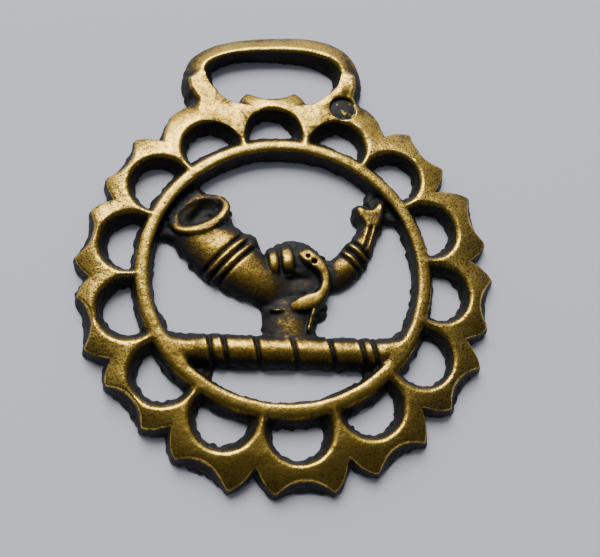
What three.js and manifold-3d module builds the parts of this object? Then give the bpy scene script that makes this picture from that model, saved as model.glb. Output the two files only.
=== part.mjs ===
// A cast horse brass: a flat-backed openwork disc with a scalloped rim, a strap loop on top
// and, inside its ring, a closed hand that holds a horn above a twisted bar.
// The whole thing is one brass casting, so it is one solid.
// Millimetres. The back lies on z = 0 and faces down, the front faces up, the strap loop
// points along +Y, and the origin is the centre of the inner ring, on the back.

import * as THREE from "three";
import { mergeVertices } from "three/addons/utils/BufferGeometryUtils.js";
import Module from "manifold-3d";

const wasm = await Module();
wasm.setup();

// ---- driving dimensions ----------------------------------------------------------------

const thickness = 3.4; // back to the polished crests of the frame
const draft = 0.42; // how far a cast wall leans out, per millimetre of depth

const scallops = 14;
// Distance from the disc's centre to the two horns of each scallop, on its outer edge. The
// first scallop is under the strap loop and the rest follow counter-clockwise. The left flank
// is rubbed shorter than the right.
const hornRadii = [
  [38.0, 38.0],
  [38.4, 38.2],
  [37.8, 36.7],
  [36.2, 36.5],
  [36.0, 36.5],
  [36.1, 36.1],
  [36.9, 38.1],
  [37.7, 38.1],
  [37.7, 37.6],
  [37.1, 37.9],
  [37.4, 38.1],
  [38.2, 39.1],
  [38.1, 38.9],
  [39.0, 38.5],
];
// How much shallower the V notch is that comes before each scallop, in the same order.
const notchRise = [0.2, 0, 0.7, 0, 0.4, 0, -0.2, 0.7, 0.5, -0.1, 0.6, 1.0, -0.2, 1.2];
const hollowDepth = 1.25; // dip between the two horns of a scallop
const notchRadius = 33.6; // bottom of the V between two scallops
const notchBaseRadius = 35.0;
const hornFraction = 0.55; // where the horns stand, as a fraction of half a scallop
const lobeFraction = 0.25; // the same for the two scallops that carry the strap loop
const rimEdge = 2.0; // height of the outer edge, below the crests

const holeCentre = 27.5; // centre of the round part of each pierced hole, at the face
const holeRadius = 5.51;
const holeBaseCentre = 28.05;
const holeBaseRadius = 3.9;
const holeLip = 0.5; // width of the crest around a hole
// How far the back of each hole is cast off its place: outwards, and counter-clockwise.
const holeDrift = [
  [0.1, 0.75],
  [0.1, 0.6],
  [0.5, 0.1],
  [-0.25, 0],
  [-0.2, -0.6],
  [-0.3, -0.1],
  [-0.2, -0.3],
  [0.3, -0.4],
  [0, 0.2],
  [0.8, 0.2],
  [0.3, 0.1],
  [0.1, 0.2],
  [0.5, 0.1],
  [-0.5, -0.1],
];
const faceDrift = 0.3; // the part of that drift the face has too

const ringInner = 23.85;
const ringInnerBase = 23.15;
const ringOuter = 25.9;
const ringOuterBase = 27.85;
const ringOval = 0.4; // the back of the ring is this much wider at the top and the bottom
const ringRise = 0.4; // and lies this much higher on the outside
const ringShift = { x: -0.1, y: 0.05 }; // the back of the ring lies this far off its face inside

// The strap loop is a band between two ovals. Every oval has the same centre.
const loopCentre = { x: 0.8, y: 41 };
const loopOuter = { side: 17.95, top: 11.0, bottom: 10.2, power: 2.6, lowPower: 2.4, turn: 4 };
const loopCrest = { side: 14.7, top: 6.8, bottom: 9.8, power: 2.7, lowPower: 2.4, turn: 2 };
const loopInner = { side: 13.9, top: 6.2, bottom: 9.2, power: 2.5, lowPower: 1.7, turn: 1 };
const loopInnerBase = { side: 12.9, top: 5.8, bottom: 8.4, power: 2.3, lowPower: 1.7, turn: -5 };
const loopEdge = 1.5; // height of the band's outer edge
const loopDraft = 0.2;
const spot = { x: 14.0, y: 33.3, radius: 2.4, floor: 1.9 }; // blackened pit at the right leg

const barHeight = 3.2;
const barSlope = -5.2; // degrees
const barCentre = { x: -1, y: -14.75, halfLength: 20.5, halfWidth: 3.0 };
const grooves = [-14.0, -11.6, -6.2, 0.0, 6.3, 11.7, 13.6]; // where they cross the bar
const grooveLean = 12; // degrees
const grooveWidth = 0.75;
const grooveDepth = 0.55; // on top, fading out down the bar's sides
const grooveSpread = 1.2;

// ---- helpers ---------------------------------------------------------------------------

const fullTurn = 2 * Math.PI;
const radians = THREE.MathUtils.degToRad;

// A closed three.js geometry as a solid that can be joined and cut.
function solid(geometry) {
  const bare = geometry.index ? geometry.toNonIndexed() : geometry.clone();
  bare.deleteAttribute("normal");
  bare.deleteAttribute("uv");
  const merged = mergeVertices(bare, 1e-4);
  const mesh = new wasm.Mesh({
    numProp: 3,
    vertProperties: new Float32Array(merged.attributes.position.array),
    triVerts: new Uint32Array(merged.index.array),
  });
  mesh.merge();
  return new wasm.Manifold(mesh);
}

const joined = (pieces) => pieces.reduce((whole, piece) => whole.add(piece));

// A lathe shape whose radius is a function of the angle at each level, from the bottom up:
// every level is { z, radius(angle), x, y }, with its own centre.
function lofted(levels, sides) {
  const first = levels[0];
  const last = levels[levels.length - 1];
  const profile = [
    new THREE.Vector2(0, 0),
    ...levels.map((level, i) => new THREE.Vector2(1, i)),
    new THREE.Vector2(0, levels.length),
  ];
  const geometry = new THREE.LatheGeometry(profile, sides);
  const position = geometry.attributes.position;
  for (let i = 0; i < position.count; i++) {
    const row = i % profile.length;
    const turn = Math.floor(i / profile.length) % sides;
    const angle = (fullTurn * turn) / sides;
    const level = row === 0 ? first : row === profile.length - 1 ? last : levels[row - 1];
    const onAxis = row === 0 || row === profile.length - 1;
    const radius = onAxis ? 0 : level.radius(angle);
    const x = (level.x ?? 0) + radius * Math.cos(angle);
    const y = (level.y ?? 0) + radius * Math.sin(angle);
    position.setXYZ(i, x, y, level.z);
  }
  return solid(geometry);
}

// A round bar bent along a smooth curve. Each station is [x, y, half width, half height],
// and the bar's axis lies at the height `axisZ`.
function bent(stations, { axisZ = 0, sides = 16, steps = 24 } = {}) {
  const curve = new THREE.CatmullRomCurve3(stations.map(([x, y]) => new THREE.Vector3(x, y, 0)));
  const size = new THREE.CatmullRomCurve3(stations.map(([, , w, h]) => new THREE.Vector3(w, h, 0)));
  const geometry = new THREE.CylinderGeometry(1, 1, 1, sides, steps);
  const position = geometry.attributes.position;
  for (let i = 0; i < position.count; i++) {
    const t = position.getY(i) + 0.5;
    const across = position.getX(i);
    const up = position.getZ(i);
    const point = curve.getPoint(t);
    const along = curve.getTangent(t);
    const { x: width, y: height } = size.getPoint(t);
    const side = across * width;
    position.setXYZ(i, point.x + along.y * side, point.y - along.x * side, axisZ + up * height);
  }
  return solid(geometry);
}

// A rounded lump: a sphere stretched to its half sizes, turned in plan and set in place.
function lump(x, y, z, halfX, halfY, halfZ, turn = 0) {
  const geometry = new THREE.SphereGeometry(1, 14, 8);
  geometry.scale(halfX, halfY, halfZ);
  geometry.rotateZ(radians(turn));
  geometry.translate(x, y, z);
  return solid(geometry);
}

// A flat piece of the given outline whose walls lean out towards the back.
function drafted(points, height) {
  const shape = new THREE.Shape(points.map(([x, y]) => new THREE.Vector2(x, y)));
  const geometry = new THREE.ExtrudeGeometry(shape, {
    depth: 0.01,
    bevelEnabled: true,
    bevelSegments: 1,
    bevelThickness: height,
    bevelSize: draft * height,
  });
  return solid(geometry);
}

// Everything below the back plane, to be cut away.
function belowBack() {
  const depth = 20;
  const box = new THREE.BoxGeometry(200, 200, depth);
  box.translate(0, 0, -depth / 2);
  return solid(box);
}

// ---- the scalloped disc ----------------------------------------------------------------

const pitch = fullTurn / scallops;

// Which scallop an angle belongs to, and how far from its middle the angle is: as an angle,
// and as a signed fraction of half a scallop, positive counter-clockwise.
function withinScallop(angle) {
  const turns = (angle - fullTurn / 4) / pitch;
  const nearest = Math.round(turns);
  const offset = (turns - nearest) * pitch;
  return { number: (nearest + scallops) % scallops, offset, fraction: 2 * (turns - nearest) };
}

// The rim's outline: two blunt horns with a dip between them, then a V notch.
function rimRadius(angle, notch, growth) {
  const { number, fraction } = withinScallop(angle);
  const carriesLoop = number === 1 || number === scallops - 1;
  const place = carriesLoop ? lobeFraction : hornFraction;
  const dip = carriesLoop ? 0 : hollowDepth;
  const blend = THREE.MathUtils.clamp(0.5 + (0.5 * fraction) / hornFraction, 0, 1);
  const horn = growth + THREE.MathUtils.lerp(...hornRadii[number], blend);
  const distance = Math.abs(fraction);
  const valley = notch + notchRise[fraction < 0 ? number : (number + 1) % scallops];
  if (distance < place) {
    return horn - dip * (0.5 + 0.5 * Math.cos((Math.PI * distance) / place));
  }
  const rise = Math.sin(((Math.PI / 2) * (1 - distance)) / (1 - place));
  return valley + (horn - valley) * rise;
}

// The crest that runs round the outside of the holes.
function crestRadius(angle) {
  const { offset } = withinScallop(angle);
  const reach = (holeRadius + holeLip) ** 2 - (holeCentre * Math.sin(offset)) ** 2;
  return holeCentre * Math.cos(offset) + Math.sqrt(Math.max(0, reach));
}

function hole(index) {
  const angle = fullTurn / 4 + index * pitch;
  const over = 1; // the cutter stands this far past both faces
  const slope = (holeRadius - holeBaseRadius) / thickness;
  const drift = (holeCentre - holeBaseCentre) / thickness;
  const [outward, sideways] = holeDrift[index];
  const level = (z) => {
    const shift = 1 - z / thickness;
    const share = faceDrift + (1 - faceDrift) * shift;
    const centre = holeBaseCentre + drift * z + share * outward;
    const x = centre * Math.cos(angle) - share * sideways * Math.sin(angle);
    const y = centre * Math.sin(angle) + share * sideways * Math.cos(angle);
    return { z, x, y, radius: () => holeBaseRadius + slope * z };
  };
  return lofted([level(-over), level(thickness + over)], 20);
}

// The ring round the figure. Its face is slightly rounded towards the inside.
function ring() {
  const crown = 0.25;
  const over = 1; // the cutter stands this far past the face
  const level = (z, radius) => {
    const shift = 1 - Math.min(z / thickness, 1);
    return { z, x: shift * ringShift.x, y: shift * ringShift.y, radius: () => radius };
  };
  const middle = (ringInner + ringOuter) / 2;
  const oval = (angle) => ringOuterBase - ringOval * Math.cos(2 * angle);
  const outside = [{ ...level(0), y: ringRise, radius: oval }, level(thickness, ringOuter)];
  const inside = [
    level(-over, ringInnerBase),
    level(0, ringInnerBase),
    level(thickness - crown, ringInner),
    level(thickness + crown, 2 * middle - ringInner),
  ];
  return lofted(outside, 70).subtract(lofted(inside, 70));
}

function plate() {
  const baseGrowth = draft * rimEdge;
  return lofted(
    [
      { z: 0, radius: (angle) => rimRadius(angle, notchBaseRadius, baseGrowth) },
      { z: rimEdge, radius: (angle) => rimRadius(angle, notchRadius, 0) },
      { z: thickness, radius: crestRadius },
    ],
    scallops * 12,
  );
}

// ---- the strap loop --------------------------------------------------------------------

// Distance from an oval's centre to its outline. Its upper and lower halves differ in
// height, and a power above 2 squares its corners.
function ovalRadius({ side, top, bottom, power, lowPower, turn }, angle, growth = 0) {
  const turned = angle - radians(turn);
  const upper = Math.sin(turned) > 0;
  const squareness = upper ? power : lowPower;
  const across = Math.abs(Math.cos(turned) / side) ** squareness;
  const up = Math.abs(Math.sin(turned) / (upper ? top : bottom)) ** squareness;
  return growth + (across + up) ** (-1 / squareness);
}

// A band upright inside, with its crest near the inside, falling away outwards.
function strapLoop() {
  const over = 1; // the cutter stands this far past both faces
  const level = (z, oval, growth = 0) => {
    return { z, ...loopCentre, radius: (angle) => ovalRadius(oval, angle, growth) };
  };
  const body = [
    level(0, loopOuter, loopDraft * loopEdge),
    level(loopEdge, loopOuter),
    level(0.75 * thickness, loopOuter, -1.8),
    level(thickness, loopCrest),
  ];
  const opening = [
    level(-over, loopInnerBase),
    level(0, loopInnerBase),
    level(thickness, loopInner),
    level(thickness + over, loopInner),
  ];
  return lofted(body, 64).subtract(lofted(opening, 48));
}

// The flat faces that join the legs of the loop to the scallops below it.
function loopFeet() {
  const left = [
    [-13.4, 32.8],
    [-13.2, 35.2],
    [-11.0, 36.6],
    [-9.0, 34.8],
    [-7.6, 34.1],
    [-5.4, 33.2],
    [-5.6, 31.2],
    [-8.2, 30.2],
    [-12.0, 31.2],
  ];
  const right = [
    [16.2, 32.6],
    [15.8, 36.2],
    [13.0, 37.0],
    [9.2, 34.2],
    [7.8, 33.7],
    [5.4, 33.0],
    [5.6, 31.2],
    [8.0, 30.2],
    [12.0, 31.2],
  ];
  return joined([left, right].map((outline) => drafted(outline, thickness - 0.1)));
}

function darkSpot() {
  const level = (z, radius) => ({ z, x: spot.x, y: spot.y, radius: () => radius });
  return lofted([level(spot.floor, spot.radius - 0.7), level(thickness + 1, spot.radius + 0.6)], 16);
}

// ---- the twisted bar under the figure ---------------------------------------------------

// A half-round bar across the ring, cut by slanting grooves like a twisted wreath.
function bar() {
  const { x, y, halfLength, halfWidth } = barCentre;
  const geometry = new THREE.CylinderGeometry(1, 1, 2 * halfLength, 24);
  geometry.rotateZ(Math.PI / 2);
  geometry.scale(1, halfWidth, barHeight);
  geometry.rotateZ(radians(barSlope));
  geometry.translate(x, y, 0);
  let twisted = solid(geometry);
  for (const place of grooves) {
    const groove = new THREE.TorusGeometry(barHeight - grooveDepth + grooveWidth / 2, grooveWidth / 2, 4, 20);
    groove.rotateY(Math.PI / 2);
    groove.scale(1, grooveSpread, 1);
    groove.rotateZ(radians(grooveLean));
    groove.translate(place, y + (place - x) * Math.tan(radians(barSlope)), 0);
    twisted = twisted.subtract(solid(groove));
  }
  return twisted;
}

// The thin webs that tie the bar, the mouth of the horn and its mouthpiece to the ring.
function webs() {
  const cornerLeft = [
    [-25.0, -7.0],
    [-22.9, -7.6],
    [-21.9, -10.4],
    [-19.8, -12.1],
    [-16.4, -12.7],
    [-16.4, -14.2],
    [-17.9, -14.6],
    [-17.9, -16.4],
    [-25.0, -16.4],
  ];
  const webLeft = [
    [-22.0, -12.0],
    [-14.6, -14.4],
    [-13.8, -16.6],
    [-14.2, -18.2],
    [-20.0, -20.0],
  ];
  const cornerRight = [
    [25.0, -7.0],
    [23.1, -8.0],
    [21.5, -12.0],
    [19.2, -14.3],
    [15.6, -15.0],
    [15.4, -16.6],
    [18.0, -17.2],
    [25.0, -17.2],
  ];
  const webRight = [
    [24.0, -9.0],
    [20.9, -12.0],
    [17.8, -13.6],
    [12.6, -15.0],
    [12.0, -19.6],
    [18.0, -20.0],
  ];
  const webMouth = [
    [-22.6, 7.4],
    [-20.0, 7.4],
    [-14.2, 15.0],
    [-15.2, 17.0],
    [-20.4, 14.4],
  ];
  const webMouthpiece = [
    [22.4, 8.8],
    [20.6, 14.0],
    [17.4, 16.2],
    [16.4, 13.2],
    [19.4, 9.4],
  ];
  return joined([
    drafted(cornerLeft, barHeight),
    drafted(webLeft, 1.0),
    drafted(cornerRight, barHeight - 0.2),
    drafted(webRight, 1.0),
    drafted(webMouth, 1.4),
    drafted(webMouthpiece, 1.4),
  ]);
}

// ---- the figure: a closed hand that holds a horn -----------------------------------------

// The horn, from its mouth at the upper left, under the fingers, to its tail at the right.
function horn() {
  const body = bent(
    [
      [-15.2, 11.4, 5.6, 2.9],
      [-14.7, 8.8, 5.8, 3.0],
      [-13.1, 6.0, 5.7, 3.0],
      [-10.1, 3.1, 5.8, 3.1],
      [-7.2, 0.2, 5.0, 3.0],
      [-3.4, -2.3, 4.3, 2.5],
      [1.0, -3.6, 3.9, 1.3],
      [6.2, -2.2, 3.1, 1.5],
      [10.2, -0.3, 3.0, 2.4],
      [13.2, 2.7, 2.8, 2.5],
      [15.6, 6.2, 2.1, 2.4],
      [17.2, 10.2, 2.7, 2.6],
    ],
    { steps: 24 },
  );
  const stud = lump(-6.5, 6.2, 0, 2.3, 1.7, 1.8, -30);
  const saddle = lump(7.6, 0.6, 0, 1.8, 1.5, 1.8);
  return joined([body, mouth(), ...bands(), mouthpiece(), stud, saddle]);
}

// The flared mouth, seen from its open side.
function mouth() {
  const tilt = 20; // degrees, of the long axis in plan
  const rim = new THREE.TorusGeometry(4.95, 0.7, 6, 24);
  rim.scale(1, 0.72, 1);
  rim.rotateX(radians(-16));
  rim.rotateZ(radians(tilt));
  rim.translate(-14.5, 11.5, 1.75);
  return joined([solid(rim), lump(-14.4, 11.6, 0, 5.7, 4.8, 2.1, tilt)]);
}

function hornHollow() {
  return lump(-14.5, 11.8, 2.5, 4.3, 3.0, 1.7, 20);
}

// Three raised bands across the body and two across the tail.
function bands() {
  const across = (x, y, halfWidth, height, turn) => {
    const band = new THREE.TorusGeometry(1, 0.5 / halfWidth, 4, 20);
    band.rotateY(Math.PI / 2);
    band.scale(halfWidth, halfWidth, height);
    band.rotateZ(radians(turn));
    band.translate(x, y, 0);
    return solid(band);
  };
  return [
    across(-10.7, 4.4, 5.3, 2.95, -51),
    across(-9.7, 3.4, 5.3, 2.95, -51),
    across(-8.6, 2.2, 5.2, 2.9, -51),
    across(11.6, 0.8, 2.4, 2.4, 46),
    across(13.3, 2.8, 2.3, 2.4, 50),
  ];
}

// The mouthpiece at the end of the tail: two lips with a cup between them.
function mouthpiece() {
  return joined([
    lump(15.4, 11.4, 0.8, 1.6, 2.2, 2.1, 25),
    lump(18.7, 11.5, 0.8, 1.4, 2.8, 2.1, -20),
    lump(17.2, 9.4, 0.4, 2.6, 2.2, 2.3),
  ]);
}

function mouthpieceCup() {
  return lump(17.0, 12.6, 2.9, 1.5, 1.9, 1.7);
}

// Every finger is [x, y] of its knuckle, [x, y] of its tip, half width and height.
const fingers = [
  [-2.2, 3.2, -1.9, -0.6, 1.3, 2.8],
  [0.1, 4.0, 0.6, -0.3, 1.3, 3.0],
  [2.6, 4.0, 3.4, 0.4, 1.35, 3.1],
];

function hand() {
  const palm = bent(
    [
      [1.0, 4.6, 3.4, 1.0],
      [1.2, 2.6, 5.6, 1.6],
      [1.6, -1.0, 6.2, 1.6],
      [1.2, -5.0, 6.4, 1.6],
      [0.5, -7.2, 5.8, 1.8],
      [0.0, -9.6, 4.9, 1.9],
      [-0.1, -13.0, 5.2, 2.1],
    ],
    { steps: 10 },
  );
  const grips = fingers.map(([knuckleX, knuckleY, endX, endY, width, height]) => {
    const stations = [
      [knuckleX, knuckleY + 1.0, width * 0.5, height * 0.4],
      [knuckleX, knuckleY, width, height * 0.75],
      [(knuckleX + endX) / 2, (knuckleY + endY) / 2, width, height],
      [endX, endY, width * 0.9, height * 0.85],
      [endX, endY - 0.8, width * 0.4, height * 0.5],
    ];
    return bent(stations, { steps: 8, sides: 10 });
  });
  const thumb = bent(
    [
      [3.6, 3.8, 1.2, 1.8],
      [4.6, 2.4, 1.6, 2.9],
      [6.0, 0.6, 1.3, 3.1],
      [6.8, -1.4, 1.1, 3.1],
      [6.7, -3.4, 1.2, 3.1],
      [5.3, -5.6, 1.8, 3.1],
      [3.1, -6.8, 1.9, 2.9],
      [0.9, -7.2, 1.2, 2.4],
    ],
    { steps: 18, sides: 10 },
  );
  const wrist = bent(
    [
      [0.4, -6.6, 4.6, 2.2],
      [-0.1, -9.4, 4.3, 2.4],
      [-0.1, -13.0, 4.6, 2.5],
    ],
    { steps: 6 },
  );
  return joined([palm, wrist, ...grips, thumb]);
}

// ---- the casting -------------------------------------------------------------------------

const ringMiddle = (ringInner + ringOuter) / 2;
const discLevel = (z) => ({ z, radius: () => ringMiddle });
const insideRing = lofted([discLevel(-1), discLevel(thickness + 1)], 56);

const rim = joined([plate(), strapLoop(), loopFeet()]);
const holes = joined(Array.from({ length: scallops }, (_, index) => hole(index)));
const frame = rim.subtract(holes).subtract(insideRing).add(ring()).subtract(darkSpot());
const figure = joined([bar(), webs(), horn(), hand()]).subtract(hornHollow()).subtract(mouthpieceCup());
const casting = frame.add(figure.intersect(insideRing)).subtract(belowBack());

const mesh = casting.getMesh();
const geometry = new THREE.BufferGeometry();
geometry.setAttribute("position", new THREE.BufferAttribute(mesh.vertProperties, 3));
geometry.setIndex(new THREE.BufferAttribute(mesh.triVerts, 1));
geometry.computeVertexNormals();

const brass = new THREE.MeshStandardMaterial({ color: 0xa8925a, roughness: 0.38, metalness: 1 });
const horseBrass = new THREE.Mesh(geometry, brass);
horseBrass.name = "horse_brass";

const group = new THREE.Group();
group.add(horseBrass);

export default group;
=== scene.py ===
# %% [markdown]
# A horse brass is a cast ornament that hangs on a harness. It is one piece of brass, poured
# into a sand mould, filed at the edges and then polished for years: the high places shine,
# and the hollows keep a black skin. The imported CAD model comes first, because it fixes the
# size, the outline and the place of everything. This lesson then makes the same casting again
# as one fine mesh, with the rounding, the worn edges and the rough walls that a real one has.

# %% Load the frame
import math

import bpy
import numpy as np
from mathutils import Matrix, Vector


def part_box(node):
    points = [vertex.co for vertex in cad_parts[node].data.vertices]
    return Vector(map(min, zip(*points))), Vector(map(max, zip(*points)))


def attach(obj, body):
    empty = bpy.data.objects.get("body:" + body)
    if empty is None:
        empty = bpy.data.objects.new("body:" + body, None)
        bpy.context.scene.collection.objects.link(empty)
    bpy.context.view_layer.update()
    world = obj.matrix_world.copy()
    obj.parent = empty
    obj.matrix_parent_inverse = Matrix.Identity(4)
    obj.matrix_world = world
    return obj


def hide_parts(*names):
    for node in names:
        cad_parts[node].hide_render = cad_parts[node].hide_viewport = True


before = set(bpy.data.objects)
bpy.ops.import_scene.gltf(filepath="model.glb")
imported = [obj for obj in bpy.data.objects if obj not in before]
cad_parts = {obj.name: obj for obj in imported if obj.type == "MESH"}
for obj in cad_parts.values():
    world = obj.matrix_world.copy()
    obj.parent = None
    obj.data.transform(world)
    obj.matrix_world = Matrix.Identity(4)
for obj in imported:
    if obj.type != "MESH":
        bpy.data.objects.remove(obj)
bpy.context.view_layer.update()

low, high = (np.array(corner) * 1000.0 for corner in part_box("horse_brass"))
thickness = high[2] - low[2]
print("the casting in mm:", np.round(high - low, 2), "thick:", round(thickness, 2))

# %% [markdown]
# A casting has no flat panels and no sharp corners, so bevelled boxes would never look right.
# Instead the form is written as a height-by-height description: at every height above the
# back, a function says how far each point lies inside the metal, in millimetres. Forms are
# joined with a soft maximum and cut with a soft minimum, which leaves the small fillets that
# molten metal leaves. At the end one mesh is drawn through the places where the value is zero.

# %% The grid that the forms are measured on
step = 0.25  # mm between points across the casting
rise = 0.2  # mm between levels
margin = 3
xs = np.arange(math.floor(low[0]) - margin * step, high[0] + margin * step, step)
ys = np.arange(math.floor(low[1]) - margin * step, high[1] + margin * step, step)
zs = np.arange(-2 * rise, thickness + 3 * rise, rise)
X, Y = np.meshgrid(xs, ys, indexing="ij")
radius = np.hypot(X, Y)
angle = np.arctan2(Y, X)
print("grid:", X.shape, "points,", len(zs), "levels")


# %% Soft joins and soft cuts
def soft_max(a, b, blend):
    """Join two forms, with a fillet about as wide as blend."""
    share = np.clip(0.5 + 0.5 * (a - b) / blend, 0, 1)
    return b + (a - b) * share + blend * share * (1 - share)


def soft_min(a, b, blend):
    return -soft_max(-a, -b, blend)


def mix(a, b, share):
    return a + (b - a) * share


def smooth_step(value, start, end):
    t = np.clip((value - start) / (end - start), 0, 1)
    return t * t * (3 - 2 * t)


# %% Roughness of a sand casting
def grain(size, seed):
    """Smooth random bumps of the given size in mm, from -1 to 1, on the whole grid."""
    draw = np.random.default_rng(seed)
    spans = [len(xs) * step, len(ys) * step, len(zs) * rise]
    lattice = draw.uniform(-1, 1, [int(span / size) + 3 for span in spans])
    for axis, (count, gap) in enumerate(((len(xs), step), (len(ys), step), (len(zs), rise))):
        place = np.arange(count) * gap / size
        first = place.astype(int)
        t = place - first
        t = t * t * (3 - 2 * t)
        shape = [1, 1, 1]
        shape[axis] = count
        t = t.reshape(shape)
        lattice = mix(np.take(lattice, first, axis), np.take(lattice, first + 1, axis), t)
    return lattice


coarse_grain = grain(2.6, 1)
fine_grain = grain(0.8, 2)
print("grain made:", coarse_grain.shape)

# %% [markdown]
# The disc is a ring of fourteen scallops. Each is a little shell: high around its hole,
# sloping down to an edge with two blunt horns and a dip between them. Fourteen separate
# shells could be modelled and copied, but a casting is never that regular. Here one function
# of the angle gives the outline, and the two horns of every scallop have their own reach,
# so the left flank comes out rubbed shorter than the right.

# %% The scalloped outline
# Where the numbers come from: the rows of horn_reach are the rounded result of a curve fit to
# the measured outline, made by another program, with the last five then moved a little. Most
# values of notch_rise are readings of the same outline by a second program, rounded.
scallops = 14
pitch = math.tau / scallops
# Reach of the two horns of each scallop in mm, from under the loop and counter-clockwise.
horn_reach = np.array([
    [38.0, 38.0], [38.4, 38.2], [37.8, 36.7], [36.2, 36.5], [36.0, 36.5], [36.1, 36.1],
    [36.9, 38.1], [37.7, 38.1], [37.7, 37.6], [37.1, 37.9], [37.4, 38.1], [38.2, 39.1],
    [38.1, 38.9], [39.0, 38.5],
])
# How much shallower the notch before each scallop is.
notch_rise = np.array([0.2, 0, 0.7, 0, 0.4, 0, -0.2, 0.7, 0.5, -0.1, 0.6, 1.0, -0.2, 1.2])
edge_height = 2.0
draft = 0.42  # how far a wall leans out for each mm of depth
notch_face, notch_base = 33.6, 35.0  # bottom of the notches, at the face and at the back
face_dip, back_dip = 1.7, 1.1  # dip between two horns, at the face and at the back
dip_bend = 2.2  # above 2, the dip is flatter in its middle than a parabola
horn_place, lobe_place = 0.55, 0.25  # where the horns stand, as a share of half a scallop
flank_straight = 0.35  # share of a straight line in the curve from horn to notch

turns = (angle - math.pi / 2) / pitch
nearest = np.round(turns).astype(int)
number = nearest % scallops
across = 2 * (turns - nearest)  # -1 to 1 over one scallop
carries_loop = (number == 1) | (number == scallops - 1)


def outline(notch, growth, depth):
    """Reach of the outline at every grid point's angle, with dips of this depth."""
    place = np.where(carries_loop, lobe_place, horn_place)
    dip = np.where(carries_loop, 0, depth)
    side = np.clip(0.5 + 0.5 * across / horn_place, 0, 1)
    horn = growth + mix(horn_reach[number, 0], horn_reach[number, 1], side)
    away = np.abs(across)
    valley = notch + np.where(across < 0, notch_rise[number], notch_rise[(number + 1) % scallops])
    between = horn - dip * (1 - np.minimum(away / place, 1) ** dip_bend)
    climb = (1 - away) / (1 - place)
    flank = valley + (horn - valley) * mix(np.sin(np.pi / 2 * climb), climb, flank_straight)
    return np.where(away < place, between, flank)


rim = outline(notch_face, 0, face_dip)
rim_base = outline(notch_base, draft * edge_height, back_dip)
print("rim reach:", round(rim.min(), 1), "to", round(rim.max(), 1), "mm")

# %% The holes and the crest round them
# The radii and the centres, in mm, came from the same fit as the camera further down.
hole_centre, hole_radius = 27.5, 5.51
hole_base_centre, hole_base_radius = 28.05, 3.9
hole_lip = 0.5
spoke_blend = 3.0
face_drop, drop_width, drop_bend = 1.4, 5.2, 1.75  # how the face falls away from a lip
face_drift = 0.3  # the part of the drift that the face has too
# How far the back of each hole is cast off its place: outwards, and counter-clockwise. These
# were set in two rounds from a program's list of how far each hole was out.
hole_drift = np.array([
    [0.1, 0.75], [0.1, 0.6], [0.5, 0.1], [-0.25, 0], [-0.2, -0.6], [-0.3, -0.1], [-0.2, -0.3],
    [0.3, -0.4], [0, 0.2], [0.8, 0.2], [0.3, 0.1], [0.1, 0.2], [0.5, 0.1], [-0.5, -0.1],
])
next_number = (number + np.where(across < 0, -1, 1)) % scallops


def hole(z, which=number):
    """How far each point lies outside a hole at this height."""
    depth = 1 - z / thickness
    share = face_drift + (1 - face_drift) * depth
    centre = mix(hole_centre, hole_base_centre, depth) + share * hole_drift[which, 0]
    sideways = share * hole_drift[which, 1]
    turn = math.pi / 2 + which * pitch
    centre_x = centre * np.cos(turn) - sideways * np.sin(turn)
    centre_y = centre * np.sin(turn) + sideways * np.cos(turn)
    return np.hypot(X - centre_x, Y - centre_y) - mix(hole_radius, hole_base_radius, depth)


# The face falls away with the distance from the nearest lip, so the spokes stay high.
from_lip = soft_min(hole(thickness), hole(thickness, next_number), spoke_blend) - hole_lip
face_fall = face_drop * (np.maximum(from_lip, 0) / drop_width) ** drop_bend
print("face falls by up to", round(float(face_fall[radius < rim].max()), 2), "mm")


def disc(z):
    # Each factor turns a distance in plan into one square to a leaning wall or face.
    slope = (thickness - face_fall - z) * 0.95
    wall = (mix(rim_base, rim, z / edge_height) - radius) * 0.9
    return soft_min(soft_min(slope, wall, 0.35), hole(z) * 0.9, 0.75)


# %% The inner ring
ring_inner, ring_inner_base = 23.85, 23.15
ring_outer, ring_outer_base = 25.9, 27.85
ring_oval, ring_rise = 0.4, 0.4
ring_middle = (ring_inner + ring_outer) / 2
ring_crown = 0.12
ring_shift_x, ring_shift_y = -0.1, 0.05  # how far the back lies off the face, inside
print("ring:", ring_inner, "to", ring_outer, "mm at the face")


def ring(z):
    depth = 1 - z / thickness
    base_reach = ring_outer_base - ring_oval * np.cos(2 * angle)
    outside = mix(ring_outer, base_reach, depth) - np.hypot(X, Y - ring_rise * depth)
    from_middle = np.hypot(X - ring_shift_x * depth, Y - ring_shift_y * depth)
    inside = from_middle - mix(ring_inner, ring_inner_base, depth)
    top = thickness - ring_crown * (2 * (radius - ring_middle) / (ring_outer - ring_inner)) ** 2 - z
    return soft_min(soft_min(outside * 0.87, inside * 0.97, 0.5), top, 0.5)


# %% [markdown]
# The strap loop is cast in one with the disc. It is a band between two ovals: upright inside,
# where a strap would chafe, and falling away outwards from a crest near the inside.

# %% The strap loop
loop_x, loop_y = 0.8, 41.0
loop_radius = np.hypot(X - loop_x, Y - loop_y)
loop_angle = np.arctan2(Y - loop_y, X - loop_x)
loop_edge = 1.5  # height of the band's outer edge
loop_draft = 0.2
loop_chamfer = 1.8
loop_shoulder = 0.75 * thickness


def oval(side, top, bottom, power, low_power, turn):
    """Reach of a squared oval at every grid point's angle round the loop's centre."""
    turned = loop_angle - math.radians(turn)
    upper = np.sin(turned) > 0
    square = np.where(upper, power, low_power)
    wide = np.abs(np.cos(turned) / side) ** square
    tall = np.abs(np.sin(turned) / np.where(upper, top, bottom)) ** square
    return (wide + tall) ** (-1 / square)


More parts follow.
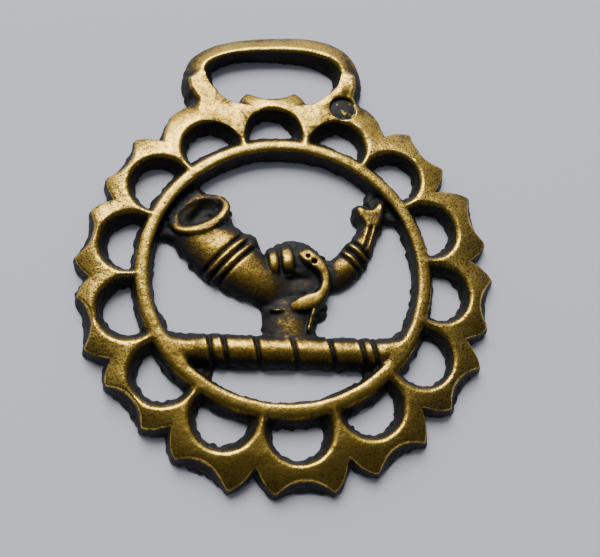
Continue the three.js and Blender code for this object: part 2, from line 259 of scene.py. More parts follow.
loop_outer = oval(17.95, 11.0, 10.2, 2.6, 2.4, 4)
loop_crest = oval(14.7, 6.8, 9.8, 2.7, 2.4, 2)
loop_inner = oval(13.9, 6.2, 9.2, 2.5, 1.7, 1)
loop_inner_base = oval(12.9, 5.8, 8.4, 2.3, 1.7, -5)
print("slot: about", round(2 * float(loop_inner.max())), "mm wide at the face")


def strap_loop(z):
    wall = mix(loop_outer + loop_draft * loop_edge, loop_outer, z / loop_edge)
    bevel_share = (z - loop_edge) / (loop_shoulder - loop_edge)
    chamfer = mix(loop_outer, loop_outer - loop_chamfer, bevel_share)
    top_share = (z - loop_shoulder) / (thickness - loop_shoulder)
    top = mix(loop_outer - loop_chamfer, loop_crest, top_share)
    body = soft_min((wall - loop_radius) * 0.95, (chamfer - loop_radius) * 0.55, 0.6)
    body = soft_min(body, (top - loop_radius) * 0.35, 0.5)
    depth = 1 - z / thickness
    opening = loop_radius - mix(loop_inner, loop_inner_base, depth)
    return soft_min(body, opening * 0.95, 1.3)


# %% Flat pieces with leaning walls
def inside_outline(points):
    """Distance inside a closed outline in plan, negative outside it."""
    distance = np.full(X.shape, 1e9)
    odd = np.zeros(X.shape, bool)
    for (ax, ay), (bx, by) in zip(points, points[1:] + points[:1]):
        ex, ey = bx - ax, by - ay
        t = np.clip(((X - ax) * ex + (Y - ay) * ey) / (ex * ex + ey * ey), 0, 1)
        distance = np.minimum(distance, np.hypot(X - ax - t * ex, Y - ay - t * ey))
        if ay != by:
            odd ^= ((ay > Y) != (by > Y)) & (X < ax + (Y - ay) / (by - ay) * ex)
    return np.where(odd, distance, -distance)


def slab(points, height):
    """A flat piece with this outline at its top, whose walls lean out like the others."""
    plan = inside_outline(points)
    return lambda z: soft_min((plan + draft * (height - z)) * 0.92, height - z, 0.6)


loop_foot_left = slab([
    (-15.6, 40.5), (-15.5, 38.4), (-13.6, 35.6), (-14.0, 33.4), (-12.0, 31.2), (-7.0, 28.0),
    (-5.6, 28.0), (-5.4, 33.2), (-7.6, 34.1), (-9.0, 34.8), (-10.2, 36.0), (-12.2, 39.2),
    (-13.2, 41.5)], thickness)
loop_foot_right = slab([
    (16.8, 41.0), (16.7, 38.4), (16.0, 36.2), (16.2, 33.0), (12.0, 31.2), (7.0, 28.0),
    (5.6, 28.0), (5.4, 33.0), (7.8, 33.7), (8.6, 34.1), (11.4, 36.0), (13.8, 38.4),
    (14.8, 41.0)], thickness)
print("loop feet: rise to", round(thickness, 2), "mm")

# %% The blackened pit at the foot of the loop
pit_x, pit_y, pit_radius, pit_floor = 13.9, 33.2, 2.75, 3.0
pit_lean = 0.3
pit_sag = 0.25  # how much deeper the floor is towards its edge
pit_distance = np.hypot(X - pit_x, Y - pit_y)
print("pit:", round(thickness - pit_floor, 2), "mm deep")


def pit(z):
    floor = pit_floor - pit_sag * smooth_step(pit_distance, 1.0, pit_radius)
    return np.minimum(pit_radius - pit_distance + pit_lean * (z - thickness), z - floor)


# %% [markdown]
# The figure stands on a twisted bar, the wreath of an old crest: a closed hand that grips a
# horn. Every limb is a bent bar with an oval section, so one helper makes them all: it finds
# the nearest place on a smooth curve and compares the distance with the width there.

# %% Bent bars and lumps
def smooth_path(stations, count):
    """Points on a smooth curve through the stations, with their sizes."""
    stations = np.array(stations, float)
    first = 2 * stations[0] - stations[1]
    last = 2 * stations[-1] - stations[-2]
    knots = np.vstack([first, stations, last])
    places = np.linspace(0, len(stations) - 1 - 1e-9, count)
    i = places.astype(int)
    t = (places - i)[:, None]
    a, b, c, d = knots[i], knots[i + 1], knots[i + 2], knots[i + 3]
    return 0.5 * (2 * b + (c - a) * t + (2 * a - 5 * b + 4 * c - d) * t ** 2
                  + (3 * b - a - 3 * c + d) * t ** 3)


def bent(stations, count=40, base=0.0, end=0.5, square=2.0):
    """A bar along a curve: each station is x, y, half width, half height."""
    path = smooth_path(stations, count)
    share = np.full(X.shape, 1e9)
    width = np.ones(X.shape)
    height = np.ones(X.shape)
    for (ax, ay, aw, ah), (bx, by, bw, bh) in zip(path[:-1], path[1:]):
        ex, ey = bx - ax, by - ay
        long = math.hypot(ex, ey)
        t = ((X - ax) * ex + (Y - ay) * ey) / long ** 2
        beyond = (t - np.clip(t, 0, 1)) * long
        t = np.clip(t, 0, 1)
        here_width = mix(aw, bw, t)
        beside = ((X - ax) * ey - (Y - ay) * ex) / long
        here = np.hypot(beside, beyond / end) / here_width
        closer = here < share
        share = np.where(closer, here, share)
        width = np.where(closer, here_width, width)
        height = np.where(closer, mix(ah, bh, t), height)
    thin = np.minimum(width, height)

    def bar(z):
        reached = share ** square + (np.abs(z - base) / height) ** square
        return (1 - reached ** (1 / square)) * thin

    return bar


def lump(x, y, z, half_x, half_y, half_z, turn=0.0):
    """An egg shape: its middle, its three half sizes, and its turn in degrees."""
    c, s = math.cos(math.radians(turn)), math.sin(math.radians(turn))
    u = ((X - x) * c + (Y - y) * s) / half_x
    v = ((Y - y) * c - (X - x) * s) / half_y
    thin = min(half_x, half_y, half_z)
    return lambda level: (1 - np.sqrt(u * u + v * v + ((level - z) / half_z) ** 2)) * thin


def ridge(distance, width):
    """1 on a line, falling to 0 at about the width to either side."""
    return np.exp(-(distance / width) ** 2)


# %% The twisted bar
bar_x, bar_y, bar_slope = -1.0, -14.75, math.radians(-5.2)
bar_half_width, bar_height = 3.0, 3.2
groove_places = [-13.8, -11.4, -6.0, 0.25, 6.6, 11.9, 14.0]
groove_lean = math.radians(12)
groove_cut, groove_width = 0.62, 0.36
strand_swell, strand_width, strand_offset = 0.16, 0.3, 0.7  # the roll beside each groove
along = (X - bar_x) * math.cos(bar_slope) + (Y - bar_y) * math.sin(bar_slope)
aside = (Y - bar_y) * math.cos(bar_slope) - (X - bar_x) * math.sin(bar_slope)
groove_depth = np.zeros(X.shape)
for place in groove_places:
    from_groove = along - (place - bar_x) / math.cos(bar_slope) + aside * math.tan(groove_lean)
    groove_depth += groove_cut * ridge(from_groove, groove_width)
    groove_depth -= strand_swell * ridge(from_groove + strand_offset, strand_width)
print("bar:", len(groove_places), "grooves, deepest", round(float(groove_depth.max()), 2), "mm")


def twisted_bar(z):
    body = (1 - np.sqrt((aside / bar_half_width) ** 2 + (z / bar_height) ** 2)) * bar_half_width
    return body - groove_depth * smooth_step(z, 0.2, 1.8)


corner_left = slab([
    (-25.0, -7.0), (-22.9, -7.6), (-21.9, -10.4), (-19.8, -12.1), (-16.4, -12.7),
    (-16.4, -14.2), (-17.9, -14.6), (-17.9, -16.4), (-25.0, -16.4)], bar_height)
web_left = slab([
    (-22.0, -12.0), (-14.6, -14.4), (-13.8, -16.6), (-14.2, -18.2), (-20.0, -20.0)], 1.0)
corner_right = slab([
    (25.0, -7.0), (23.1, -8.0), (21.5, -12.0), (19.2, -14.3), (15.6, -15.0), (15.4, -16.6),
    (18.0, -17.2), (25.0, -17.2)], bar_height)
web_right = slab([
    (24.0, -9.0), (20.9, -12.0), (17.8, -13.6), (12.6, -15.0), (12.0, -19.6),
    (18.0, -20.0)], 1.0)

# %% The horn
horn_body = bent([
    [-15.2, 11.4, 5.6, 2.9], [-14.7, 8.8, 5.8, 3.0], [-13.1, 6.0, 5.7, 3.1],
    [-10.1, 3.1, 5.8, 3.2], [-7.2, 0.2, 5.0, 3.1], [-3.4, -2.3, 4.3, 2.5],
    [1.0, -3.6, 3.9, 1.3], [6.2, -2.2, 3.1, 1.5], [10.2, -0.3, 3.0, 2.5],
    [13.2, 2.7, 2.8, 2.6], [15.6, 6.2, 2.1, 2.5], [17.2, 10.2, 2.7, 2.7]], 60)
stud = lump(-6.7, 5.6, 0, 2.4, 2.3, 2.2, -40)
saddle = lump(7.6, 0.6, 0, 1.8, 1.5, 1.8)


def along_line(x, y, degrees):
    """Distance from a point, measured along a direction, and across it."""
    c, s = math.cos(math.radians(degrees)), math.sin(math.radians(degrees))
    return (X - x) * c + (Y - y) * s, (Y - y) * c - (X - x) * s


band_along, band_aside = along_line(-9.5, 2.7, -47)
near_bands = smooth_step(7.5 - np.abs(band_aside), 0, 1.5)
band_relief = near_bands * sum(
    0.25 * ridge(band_along - place, 0.5) - 0.55 * ridge(band_along - place - 0.8, 0.24)
    for place in (-0.85, 0.75))
band_relief -= near_bands * 0.55 * ridge(band_along + 1.75, 0.28)

collar_along, collar_aside = along_line(12.4, 1.2, 40)
near_collar = smooth_step(4.5 - np.abs(collar_aside), 0, 1.0)
collar_relief = near_collar * (
    0.35 * ridge(collar_along - 1.7, 0.45) + 0.1 * ridge(collar_along + 0.1, 0.35)
    - 0.6 * ridge(collar_along + 0.8, 0.3) - 0.6 * ridge(collar_along - 0.75, 0.4)
    - 0.6 * ridge(collar_along - 2.6, 0.35))

shaft_along, shaft_aside = along_line(15.75, 5.6, 68)
near_shaft = smooth_step(3.0 - np.abs(shaft_along), 0, 0.8)
shaft_relief = near_shaft * (
    0.2 * ridge(shaft_aside - 0.75, 0.35) + 0.35 * ridge(shaft_aside + 0.5, 0.3)
    - 0.3 * ridge(shaft_aside - 0.1, 0.25))

print("horn relief: up to", round(float((band_relief + collar_relief).max()), 2), "mm")

# %% The flared mouth of the horn
mouth_x, mouth_y, mouth_tilt = -14.9, 11.7, 26
mouth_u, mouth_v = along_line(mouth_x, mouth_y, mouth_tilt)
mouth_half_long, mouth_half_short = 5.0, 3.3
mouth_ellipse = np.hypot(mouth_u / mouth_half_long, mouth_v / mouth_half_short)
mouth_distance = np.hypot(mouth_u, mouth_v)
mouth_from_rim = (mouth_ellipse - 1) * mouth_distance / np.maximum(mouth_ellipse, 1e-6)
mouth_rim_height = 1.85 - 0.28 * mouth_v
mouth_rim_bead = mix(0.85, 0.4, smooth_step(mouth_v, -2.5, 2.0))
mouth_bowl = lump(-14.6, 11.6, 0, 5.7, 4.6, 2.3, mouth_tilt)
mouth_hollow = lump(-14.9, 11.9, 2.9, 4.4, 2.9, 2.5, mouth_tilt)


def mouth_rim(z):
    return mouth_rim_bead - np.hypot(mouth_from_rim * 0.85, (z - mouth_rim_height) * 1.2)


# %% The mouthpiece at the end of the tail
mouthpiece = [
    slab([(15.9, 7.6), (14.4, 10.2), (14.5, 11.4), (15.6, 11.2), (17.2, 11.1), (18.3, 12.4),
          (19.1, 11.8), (18.8, 9.8), (17.8, 7.6)], 2.8),
    lump(15.0, 11.2, 0.4, 1.6, 1.5, 2.2), lump(18.6, 11.2, 0.4, 0.9, 2.0, 2.6, -15)]
mouthpiece_cup = lump(16.7, 13.0, 2.9, 1.5, 1.9, 2.2, -15)
web_mouth = slab([
    (-22.6, 7.4), (-20.0, 7.4), (-14.2, 15.0), (-15.2, 17.0), (-20.4, 14.4)], 1.4)
web_mouthpiece = slab([
    (22.4, 8.8), (20.6, 14.0), (17.4, 16.2), (16.4, 13.2), (19.4, 9.4)], 1.4)


def horn(z):
    body = horn_body(z) + (band_relief + collar_relief + shaft_relief) * smooth_step(z, 0.3, 1.6)
    body = soft_max(body, mouth_bowl(z), 0.6)
    body = soft_min(body, -mouth_hollow(z), 0.3)
    for piece in (mouth_rim, stud, saddle, *mouthpiece):
        body = soft_max(body, piece(z), 0.35)
    return soft_min(body, -mouthpiece_cup(z), 0.3)


# %% [markdown]
# The hand is the hardest part. Two fingers wrap over the horn from above, and the index finger
# curls round in a hook on the right, with a deep hollow inside it. They are bent bars again,
# joined with very little blending, so dark creases stay between them.

# %% The closed hand and the wrist
palm = bent([
    [1.0, 4.6, 3.4, 0.9], [1.2, 3.0, 5.4, 2.0], [1.4, 0.6, 6.0, 2.0], [1.2, -5.0, 6.4, 1.1],
    [0.5, -7.2, 5.8, 1.6], [0.0, -9.6, 4.9, 1.8], [-0.1, -13.0, 5.2, 2.0]])
wrist = bent([[0.4, -6.6, 4.2, 1.9], [-0.1, -9.4, 4.0, 2.1], [-0.1, -13.0, 4.4, 2.3]])
cuff = bent([[4.2, -7.8, 0.8, 2.7], [3.5, -9.4, 0.6, 2.6], [2.8, -11.6, 0.55, 2.5]])
cuff_band = bent([[-3.4, -7.3, 0.4, 2.2], [-2.2, -7.5, 0.4, 2.5], [-1.0, -7.6, 0.35, 2.2]])
fingers = [
    bent([[-2.3, 4.4, 0.9, 1.2], [-2.2, 3.3, 1.1, 2.2], [-2.15, 1.4, 1.15, 2.8],
          [-2.15, -0.1, 1.1, 2.6], [-2.1, -1.2, 0.9, 1.7]], square=3.4),
    bent([[0.2, 5.0, 1.0, 1.2], [0.3, 3.9, 1.25, 2.2], [0.38, 1.7, 1.35, 3.0],
          [0.4, 0.1, 1.3, 2.8], [0.4, -1.0, 1.0, 1.9]], square=3.4),
]
index_finger = bent([
    [2.7, 4.6, 0.9, 1.3], [3.2, 3.2, 1.4, 2.4], [4.2, 2.1, 1.6, 3.0], [5.5, 0.9, 1.5, 3.1],
    [6.5, -0.7, 1.2, 3.1], [6.75, -2.5, 1.0, 3.1], [6.3, -4.3, 1.1, 3.1], [5.2, -5.6, 1.4, 3.0],
    [3.7, -6.2, 1.75, 3.0], [1.9, -6.7, 1.6, 2.8], [0.6, -6.9, 1.2, 2.3]], 60, square=3.6)
hollow = lump(2.4, -2.8, 3.0, 3.9, 2.2, 2.4, -8)
knuckle_pits = [lump(4.0, 2.1, 3.0, 0.4, 0.4, 0.6), lump(5.0, 1.0, 3.0, 0.5, 0.4, 0.6, -40)]

print("hand:", len(fingers) + 1, "fingers")


def hand(z):
    body = soft_max(palm(z), wrist(z), 0.5)
    body = soft_min(body, -hollow(z), 0.4)
    for finger in (*fingers, index_finger, cuff, cuff_band):
        body = soft_max(body, finger(z), 0.15)
    for pit_form in knuckle_pits:
        body = soft_min(body, -pit_form(z), 0.15)
    return body


# %% Put the casting together, level by level
def casting(z):
    plate = disc(z)
    for piece in (strap_loop, loop_foot_left, loop_foot_right):
        plate = soft_max(plate, piece(z), 1.6)
    plate = soft_min(plate, hole(z) * 0.9, 0.75)
    plate = soft_min(plate, radius - ring_middle, 0.1)
    whole = soft_max(plate, ring(z), 0.35)
    whole = soft_min(whole, -pit(z), 0.2)
    figure = soft_max(horn(z), hand(z), 0.2)
    figure = soft_max(figure, twisted_bar(z), 0.3)
    for piece in (corner_left, corner_right, web_left, web_right, web_mouth, web_mouthpiece):
        figure = soft_max(figure, piece(z), 0.8)
    figure = soft_min(figure, ring_middle - radius, 0.1)
    return soft_max(whole, figure, 0.6)


field = np.stack([casting(z) for z in zs], axis=2)
print("field made:", field.shape, "metal in", round(100 * float((field > 0).mean())), "% of it")

# %% [markdown]
# Sand leaves a rough skin. Filing and polishing take it off the tops, so the roughness is
# strongest on the walls and near the back, and faint on the crests. To know how well a
# polishing cloth reaches a place, a cloth is imagined lying over the casting: it touches the
# tops and bridges the hollows. The depth below it is kept for the material as well.

# %% Where a polishing cloth reaches
def widest(height, reach):
    """The highest value within a reach, in grid steps, found along one axis and the other."""
    for axis in (0, 1):
        shifted = [np.roll(height, shift, axis) for shift in range(-reach, reach + 1)]
        height = np.max(shifted, axis=0)
    return height


def blurred(values, reach, axes):
    """A running mean over a reach, in grid steps, done twice for a soft fall-off."""
    for axis in axes:
        for _ in range(2):
            values = sum(np.roll(values, shift, axis) for shift in range(-reach, reach + 1))
            values = values / (2 * reach + 1)
    return values


def below_cloth(height, reach_mm):
    """Depth of every grid point below a cloth that bridges gaps of this reach."""
    reach = round(reach_mm / step)
    cloth = blurred(widest(height, reach), max(1, reach // 2), (0, 1))
    return cloth[:, :, None] - zs[None, None, :]


metal = field > 0
top = np.where(metal.any(axis=2), zs[len(zs) - 1 - np.argmax(metal[:, :, ::-1], axis=2)], 0.0)
near_depth = below_cloth(top, 0.9)
far_depth = below_cloth(top, 4.0)
wall_share = smooth_step(near_depth, 0.4, 1.8)
# Each pair is the roughness in mm on the polished tops and on the raw walls.
fine_skin = mix(0.025, 0.26, wall_share)
coarse_skin = mix(0.03, 0.12, wall_share)
field = field + fine_grain * fine_skin + coarse_grain * coarse_skin
field = np.minimum(field, zs[None, None, :])
field = np.minimum(field, thickness - zs[None, None, :])
print("depth below the cloth: up to", round(float(near_depth[metal].max()), 2), "mm")


# %% [markdown]
# The mesh is drawn by surface nets: every grid cell that the surface crosses gets one point,
# at the mean of the crossings on its edges, and every crossed grid edge gets one quad.

# %% Draw the mesh
def surface_net(values, origin, gaps):
    """Points and quads of the surface where a grid of numbers is zero."""
    inside = values > 0
    corners = [(i, j, k) for i in (0, 1) for j in (0, 1) for k in (0, 1)]
    size = [n - 1 for n in values.shape]

    def window(array, corner):
        return array[tuple(slice(c, c + n) for c, n in zip(corner, size))]

    count = sum(window(inside, corner).astype(np.int8) for corner in corners)
    active = (count > 0) & (count < 8)
    cells = np.argwhere(active)
    index = np.full(active.shape, -1)
    index[active] = np.arange(len(cells))
    at = {corner: values[tuple((cells + corner).T)] for corner in corners}
    total = np.zeros((len(cells), 3))
    hits = np.zeros(len(cells))
    for corner in corners:
        for axis in range(3):
            if corner[axis]:
                continue
            other = tuple(c + (a == axis) for a, c in enumerate(corner))
            start, end = at[corner], at[other]
            crossed = (start > 0) != (end > 0)
            point = np.tile(np.array(corner, float), (len(cells), 1))
            point[:, axis] = np.where(crossed, start / np.where(crossed, start - end, 1), 0)
            total += crossed[:, None] * point
            hits += crossed
    points = origin + (cells + total / hits[:, None]) * gaps
    quads = []
    for axis in range(3):
        u, v = (axis + 1) % 3, (axis + 2) % 3
        below = np.moveaxis(inside, axis, 0)[:-1]
        above = np.moveaxis(inside, axis, 0)[1:]
        places = np.argwhere(np.moveaxis(below != above, 0, axis))
        keep = (places[:, u] > 0) & (places[:, v] > 0)
        keep &= (places[:, u] < size[u]) & (places[:, v] < size[v])
        places = places[keep]
        step_u, step_v = np.eye(3, dtype=int)[u], np.eye(3, dtype=int)[v]
        around = [places - step_u - step_v, places - step_v, places, places - step_u]
        quad = np.stack([index[tuple(cell.T)] for cell in around], axis=1)
        outward = inside[tuple(places.T)]
        quads.append(np.where(outward[:, None], quad, quad[:, ::-1]))
    return points, np.vstack(quads)


gaps = np.array([step, step, rise])
points, quads = surface_net(field, np.array([xs[0], ys[0], zs[0]]), gaps)
print("mesh:", len(points), "points,", len(quads), "quads")


# %% [markdown]
# The raw net is too dense for a part that others will load, above all on the flat back. The
# Decimate modifier gives up points where the surface is flat and keeps them where it bends,
# so the carving stays crisp while the back becomes a few large faces.

# %% Make one clean body of it
def largest_body(points, quads):
    """Drop specks of metal that hang free, such as crumbs of the rough skin."""
    label = np.arange(len(points))
    while True:
        lowest = label[quads].min(axis=1)
        new = label.copy()
        for corner in range(4):
            np.minimum.at(new, quads[:, corner], lowest)
        new = new[new]
        if (new == label).all():
            break
        label = new
    names, counts = np.unique(label, return_counts=True)
    keep = label == names[np.argmax(counts)]
    print("bodies found:", len(names), "points dropped:", int((~keep).sum()))
    renumber = np.cumsum(keep) - 1
    return points[keep], renumber[quads[keep[quads[:, 0]]]]


points, quads = largest_body(points, quads)
points = np.clip(points, low, high)
mesh = bpy.data.meshes.new("horse_brass_casting")
mesh.from_pydata((points / 1000.0).tolist(), [], quads.tolist())
casting_piece = bpy.data.objects.new("horse_brass_casting", mesh)
bpy.context.scene.collection.objects.link(casting_piece)

triangle_limit = 190000
decimate = casting_piece.modifiers.new("thin out", "DECIMATE")
decimate.ratio = min(1.0, triangle_limit / (2 * len(quads)))
decimate.use_collapse_triangulate = True
thinned = casting_piece.evaluated_get(bpy.context.evaluated_depsgraph_get())
mesh = bpy.data.meshes.new_from_object(thinned)
casting_piece.modifiers.clear()
casting_piece.data = mesh
mesh.name = "horse_brass_casting"
mesh.polygons.foreach_set("use_smooth", [True] * len(mesh.polygons))
print("casting:", len(mesh.vertices), "points,", len(mesh.polygons), "triangles")


# %% Keep what the finish needs to know on the mesh
def sample(values, places):
    """The value of a grid of numbers at any place in mm, blended from the eight around it."""
    spot = (places - np.array([xs[0], ys[0], zs[0]])) / gaps
    first = np.clip(np.floor(spot).astype(int), 0, np.array(values.shape) - 2)
    t = spot - first
    total = np.zeros(len(places))
    for i in (0, 1):
        for j in (0, 1):
            for k in (0, 1):
                weight = np.abs(1 - i - t[:, 0]) * np.abs(1 - j - t[:, 1]) * np.abs(1 - k - t[:, 2])
                total += weight * values[first[:, 0] + i, first[:, 1] + j, first[:, 2] + k]
    return total


def keep_on_mesh(name, values):
    """Store one number for each point, for the material to read."""
    layer = mesh.attributes.new(name, "FLOAT", "POINT")
    layer.data.foreach_set("value", np.asarray(values, np.float32))
    print(name, "from", round(float(values.min()), 2), "to", round(float(values.max()), 2))


flat = np.empty(len(mesh.vertices) * 3)
mesh.vertices.foreach_get("co", flat)
places = flat.reshape(-1, 3) * 1000.0
smooth_field = blurred(field, 1, (0, 1, 2))
slopes = [sample(grown, places) for grown in np.gradient(smooth_field, step, step, rise)]
facing = -slopes[2] / np.maximum(np.sqrt(sum(slope ** 2 for slope in slopes)), 1e-6)
around = blurred(blurred((field > 0).astype(float), 2, (0, 1)), 2, (2,))
# Tilted faces get darker colour: partly unpolished walls, partly painted shade on slopes.
inside_ring = 1 - smooth_step(np.hypot(places[:, 0], places[:, 1]), 22.5, 24.0)
# Inside the ring, on the figure, the painted shade begins at a smaller tilt.
from_tilt = mix(0.2, 0.4, inside_ring)
to_tilt = mix(0.7, 0.95, inside_ring)
keep_on_mesh("upward_polish_and_shade", smooth_step(facing, from_tilt, to_tilt))
keep_on_mesh("reach", 1 - smooth_step(sample(near_depth, places), 0.35, 1.25))
below_frame = smooth_step(sample(far_depth, places), 0.15, 1.4)
keep_on_mesh("sheltered", below_frame * mix(0.45, 0.85, inside_ring) + 0.3 * inside_ring)
keep_on_mesh("raised", np.clip(1.5 - 2 * sample(around, places), 0, 1))
pit_at = np.hypot(places[:, 0] - pit_x, places[:, 1] - pit_y)
keep_on_mesh("soot", 1 - smooth_step(pit_at, 2.0, 2.7))
right_side = smooth_step(places[:, 0], 6, 26)
left_side = smooth_step(-places[:, 0], 19, 27)
keep_on_mesh("pitted", 0.3 + 0.7 * np.maximum(right_side, 0.7 * left_side))

# %% [markdown]
# Cast brass is copper with about a third of zinc. When new it is a pale yellow metal. With
# age it grows a brown-black oxide, which polishing keeps off the high places. The finish
# follows that story: how well a cloth reaches a place, and whether it stands proud, decide
# how much bright metal shows, and small pores stay dark even on the polished tops.

# %% Colours and a helper that adds nodes
def linear(code):
    """An sRGB hex colour as the linear values that shaders use."""
    parts = [int(code[i:i + 2], 16) / 255 for i in (1, 3, 5)]
    return [v / 12.92 if v <= 0.04045 else ((v + 0.055) / 1.055) ** 2.4 for v in parts] + [1.0]


def add(tree, kind, inputs=(), **settings):
    """Add a node: its settings, and for each input a value or the output that feeds it."""
    new = tree.nodes.new(kind)
    for name, value in settings.items():
        setattr(new, name, value)
    for name, source in dict(inputs).items():
        if isinstance(source, bpy.types.NodeSocket):
            tree.links.new(source, new.inputs[name])
        else:
            new.inputs[name].default_value = source
    return new


def set_ramp(node, stops):
    """Give a colour ramp its stops, each a place from 0 to 1 and a colour."""
    ramp = node.color_ramp
    while len(ramp.elements) < len(stops):
        ramp.elements.new(0.5)
    for element, (place, colour) in zip(ramp.elements, stops):
        element.position = place
        element.color = colour
    return node


def per_mm(size):
    """The scale of a texture whose features are this many mm wide."""
    return 1000.0 / size


# %% Aged cast brass
# Brass gives the eye a warm, pale yellow shine with blurred edges. The oxide in the hollows
# hardly shines at all, and the pores, really about 0.1 mm wide, are drawn 0.3 mm wide so
# that they show.
brass = bpy.data.materials.new("aged cast brass")
brass.use_nodes = True
tree = brass.node_tree
tree.nodes.clear()
where = add(tree, "ShaderNodeTexCoord").outputs["Object"]
stored = {
    name: add(tree, "ShaderNodeAttribute", attribute_name=name).outputs["Fac"]
    for name in ("reach", "upward_polish_and_shade", "raised", "sheltered", "pitted", "soot")}
# Each pattern: the size of its features in mm, its detail and its roughness.
patterns = {"patches": (3.5, 4.0, 0.6), "mottle": (0.7, 3.0, 0.7), "pores": (0.3, 2.0, 0.6),
            "flecks": (1.3, 3.0, 0.6), "waves": (1.6, 3.0, 0.6), "pits": (0.35, 2.0, 0.6)}
pattern = {
    name: add(tree, "ShaderNodeTexNoise", {
        "Vector": where, "Scale": per_mm(size), "Detail": detail, "Roughness": rough,
    }).outputs["Fac"] for name, (size, detail, rough) in patterns.items()}
print("stored numbers:", len(stored), "patterns:", len(pattern))

# %% How bright the metal is
# Polish needs a cloth that reaches the place; the tilt share is partly painted shade on slopes.
polish_and_slope_shade = add(tree, "ShaderNodeMath", {0: stored["reach"], 1: stored["upward_polish_and_shade"]},
               operation="MULTIPLY").outputs["Value"]
pores = add(tree, "ShaderNodeMapRange", {
    "Value": pattern["pores"], "From Min": 0.53, "From Max": 0.62}).outputs["Result"]
pores = add(tree, "ShaderNodeMath", {0: pores, 1: stored["pitted"]},
            operation="MULTIPLY").outputs["Value"]
# The soot in the pit is broken by a few flecks of bare metal.
flecks = add(tree, "ShaderNodeMapRange", {
    "Value": pattern["flecks"], "From Min": 0.58, "From Max": 0.64,
    "To Min": -0.75, "To Max": -0.05}).outputs["Result"]
soot = add(tree, "ShaderNodeMath", {0: stored["soot"], 1: flecks},
           operation="MULTIPLY").outputs["Value"]
raised_weight, patch_weight, mottle_weight = 0.55, 0.55, 0.6
weights = [
    (polish_and_slope_shade, 0.72), (stored["raised"], raised_weight), (stored["sheltered"], -0.42),
    (pattern["patches"], patch_weight), (pattern["mottle"], mottle_weight), (pores, -0.7),
    (soot, 1.0)]
# Three of them swing about a half, so half of their weight is taken off at the start.
bright = 0.08 - 0.5 * (raised_weight + patch_weight + mottle_weight)
for source, weight in weights:
    bright = add(tree, "ShaderNodeMath", {0: source, 1: weight, 2: bright},
                 operation="MULTIPLY_ADD").outputs["Value"]
bright.node.use_clamp = True
print("brightness is the sum of", len(weights), "shares")

# %% Colour, metal and gloss from the brightness
tone = set_ramp(add(tree, "ShaderNodeValToRGB", {"Fac": bright}), [
    (0.0, linear("#12100e")), (0.25, linear("#231d17")), (0.4, linear("#46371f")),
    (0.55, linear("#80672f")), (0.75, linear("#bf9c44")), (1.0, linear("#e6c25c"))])
metal_share = set_ramp(add(tree, "ShaderNodeValToRGB", {"Fac": bright}), [
    (0.2, (0.1, 0.1, 0.1, 1)), (0.5, (1, 1, 1, 1))])
gloss = set_ramp(add(tree, "ShaderNodeValToRGB", {"Fac": bright}), [
    (0.15, (0.65, 0.65, 0.65, 1)), (0.5, (0.42, 0.42, 0.42, 1)), (0.9, (0.27, 0.27, 0.27, 1))])
wave_height, pit_height = 0.0002, 0.00005  # metres
waves = add(tree, "ShaderNodeBump", {
    "Height": pattern["waves"], "Strength": 0.5, "Distance": wave_height})
pits = add(tree, "ShaderNodeBump", {
    "Height": pattern["pits"], "Strength": 0.5, "Distance": pit_height,
    "Normal": waves.outputs["Normal"]})
shader = add(tree, "ShaderNodeBsdfPrincipled", {
    "Base Color": tone.outputs["Color"], "Metallic": metal_share.outputs["Color"],
    "Roughness": gloss.outputs["Color"], "Normal": pits.outputs["Normal"]})
add(tree, "ShaderNodeOutputMaterial", {"Surface": shader.outputs["BSDF"]})
mesh.materials.clear()
mesh.materials.append(brass)
print("brass nodes:", len(tree.nodes))

# %% Tie the piece to the frame
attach(casting_piece, "root")
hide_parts("horse_brass")
print(casting_piece.name, "rides on root")

# %% [markdown]
# The studio is a pale grey table cloth under one broad, soft light from beyond the loop, in a
# room that is brighter on that side. A polished metal shows what it reflects, so the light
# is large: the flat tops mirror it, and the slopes that face the viewer mirror the dim side.

# %% The table
table_half = 1.5  # metres
table_drop = 0.00002  # the cloth lies this far below the casting, so that they don't touch
table_mesh = bpy.data.meshes.new("table")
corners = [(-1, -1), (1, -1), (1, 1), (-1, 1)]
table_mesh.from_pydata([(x * table_half, y * table_half, -table_drop) for x, y in corners],
                       [], [(0, 1, 2, 3)])
table = bpy.data.objects.new("table", table_mesh)
bpy.context.scene.collection.objects.link(table)

cloth_grey = bpy.data.materials.new("pale table cloth")
cloth_grey.use_nodes = True
cloth_shader = cloth_grey.node_tree.nodes["Principled BSDF"]
cloth_shader.inputs["Base Color"].default_value = linear("#ececf4")
cloth_shader.inputs["Roughness"].default_value = 0.95
table_mesh.materials.append(cloth_grey)
print("table:", 2 * table_half, "m across")


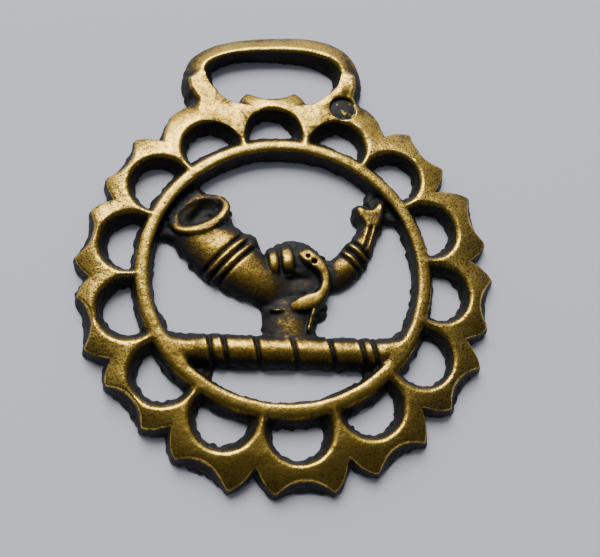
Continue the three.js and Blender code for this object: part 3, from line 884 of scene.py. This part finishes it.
# %% The lights
def soft_light(name, place, size, power, colour="#ffffff", aim=(0, 0.005, 0)):
    """A rectangle of light at a place in metres, turned to its aim, with its power in watts."""
    lamp = bpy.data.lights.new(name, "AREA")
    lamp.shape = "RECTANGLE"
    lamp.size, lamp.size_y = size
    lamp.energy = power
    lamp.color = linear(colour)[:3]
    holder = bpy.data.objects.new(name, lamp)
    holder.location = place
    towards = Vector(aim) - Vector(place)
    holder.rotation_euler = towards.to_track_quat("-Z", "Y").to_euler()
    bpy.context.scene.collection.objects.link(holder)
    return holder


window = soft_light("window_light", (-0.14, 1.05, 1.05), (0.95, 0.75), 21.0)
print("window light:", window.data.energy, "W")

# %% The room
# The room is brighter towards the window and dimmer behind the viewer.
world = bpy.data.worlds.new("room")
world.use_nodes = True
room = world.node_tree
direction = add(room, "ShaderNodeTexCoord").outputs["Generated"]
towards_window = (-0.12, 0.95, 0.2)
window_side = add(room, "ShaderNodeVectorMath", {0: direction, 1: towards_window},
                  operation="DOT_PRODUCT").outputs["Value"]
room_light = set_ramp(add(room, "ShaderNodeValToRGB", {"Fac": window_side}), [
    (0.0, linear("#4a4e54")), (0.3, linear("#6d7178")), (0.55, linear("#a5a9b0")),
    (0.8, linear("#f4f6fa"))])
glow = room.nodes["Background"]
room.links.new(room_light.outputs["Color"], glow.inputs["Color"])
glow.inputs["Strength"].default_value = 0.9
bpy.context.scene.world = world
print("room: from", len(room_light.color_ramp.elements), "tones")

# %% The camera
# The lens, the place and the turns are the result of a fit to the holes, by another program.
camera_place = (-0.01232, -0.03768, 0.09987)  # metres
turn_z, turn_x, turn_y = (math.radians(degrees) for degrees in (-2.640, 20.459, -7.056))
camera_data = bpy.data.cameras.new("camera")
camera_data.lens = 35.63
camera_data.sensor_width = 36.0
camera_data.clip_start = 0.005  # the casting is only about 100 mm away
camera = bpy.data.objects.new("camera", camera_data)
turn = (Matrix.Rotation(turn_z, 4, "Z") @ Matrix.Rotation(turn_x, 4, "X")
        @ Matrix.Rotation(turn_y, 4, "Y"))
camera.matrix_world = Matrix.Translation(camera_place) @ turn
bpy.context.scene.collection.objects.link(camera)
bpy.context.scene.camera = camera
print("camera at", [round(v, 4) for v in camera.location])
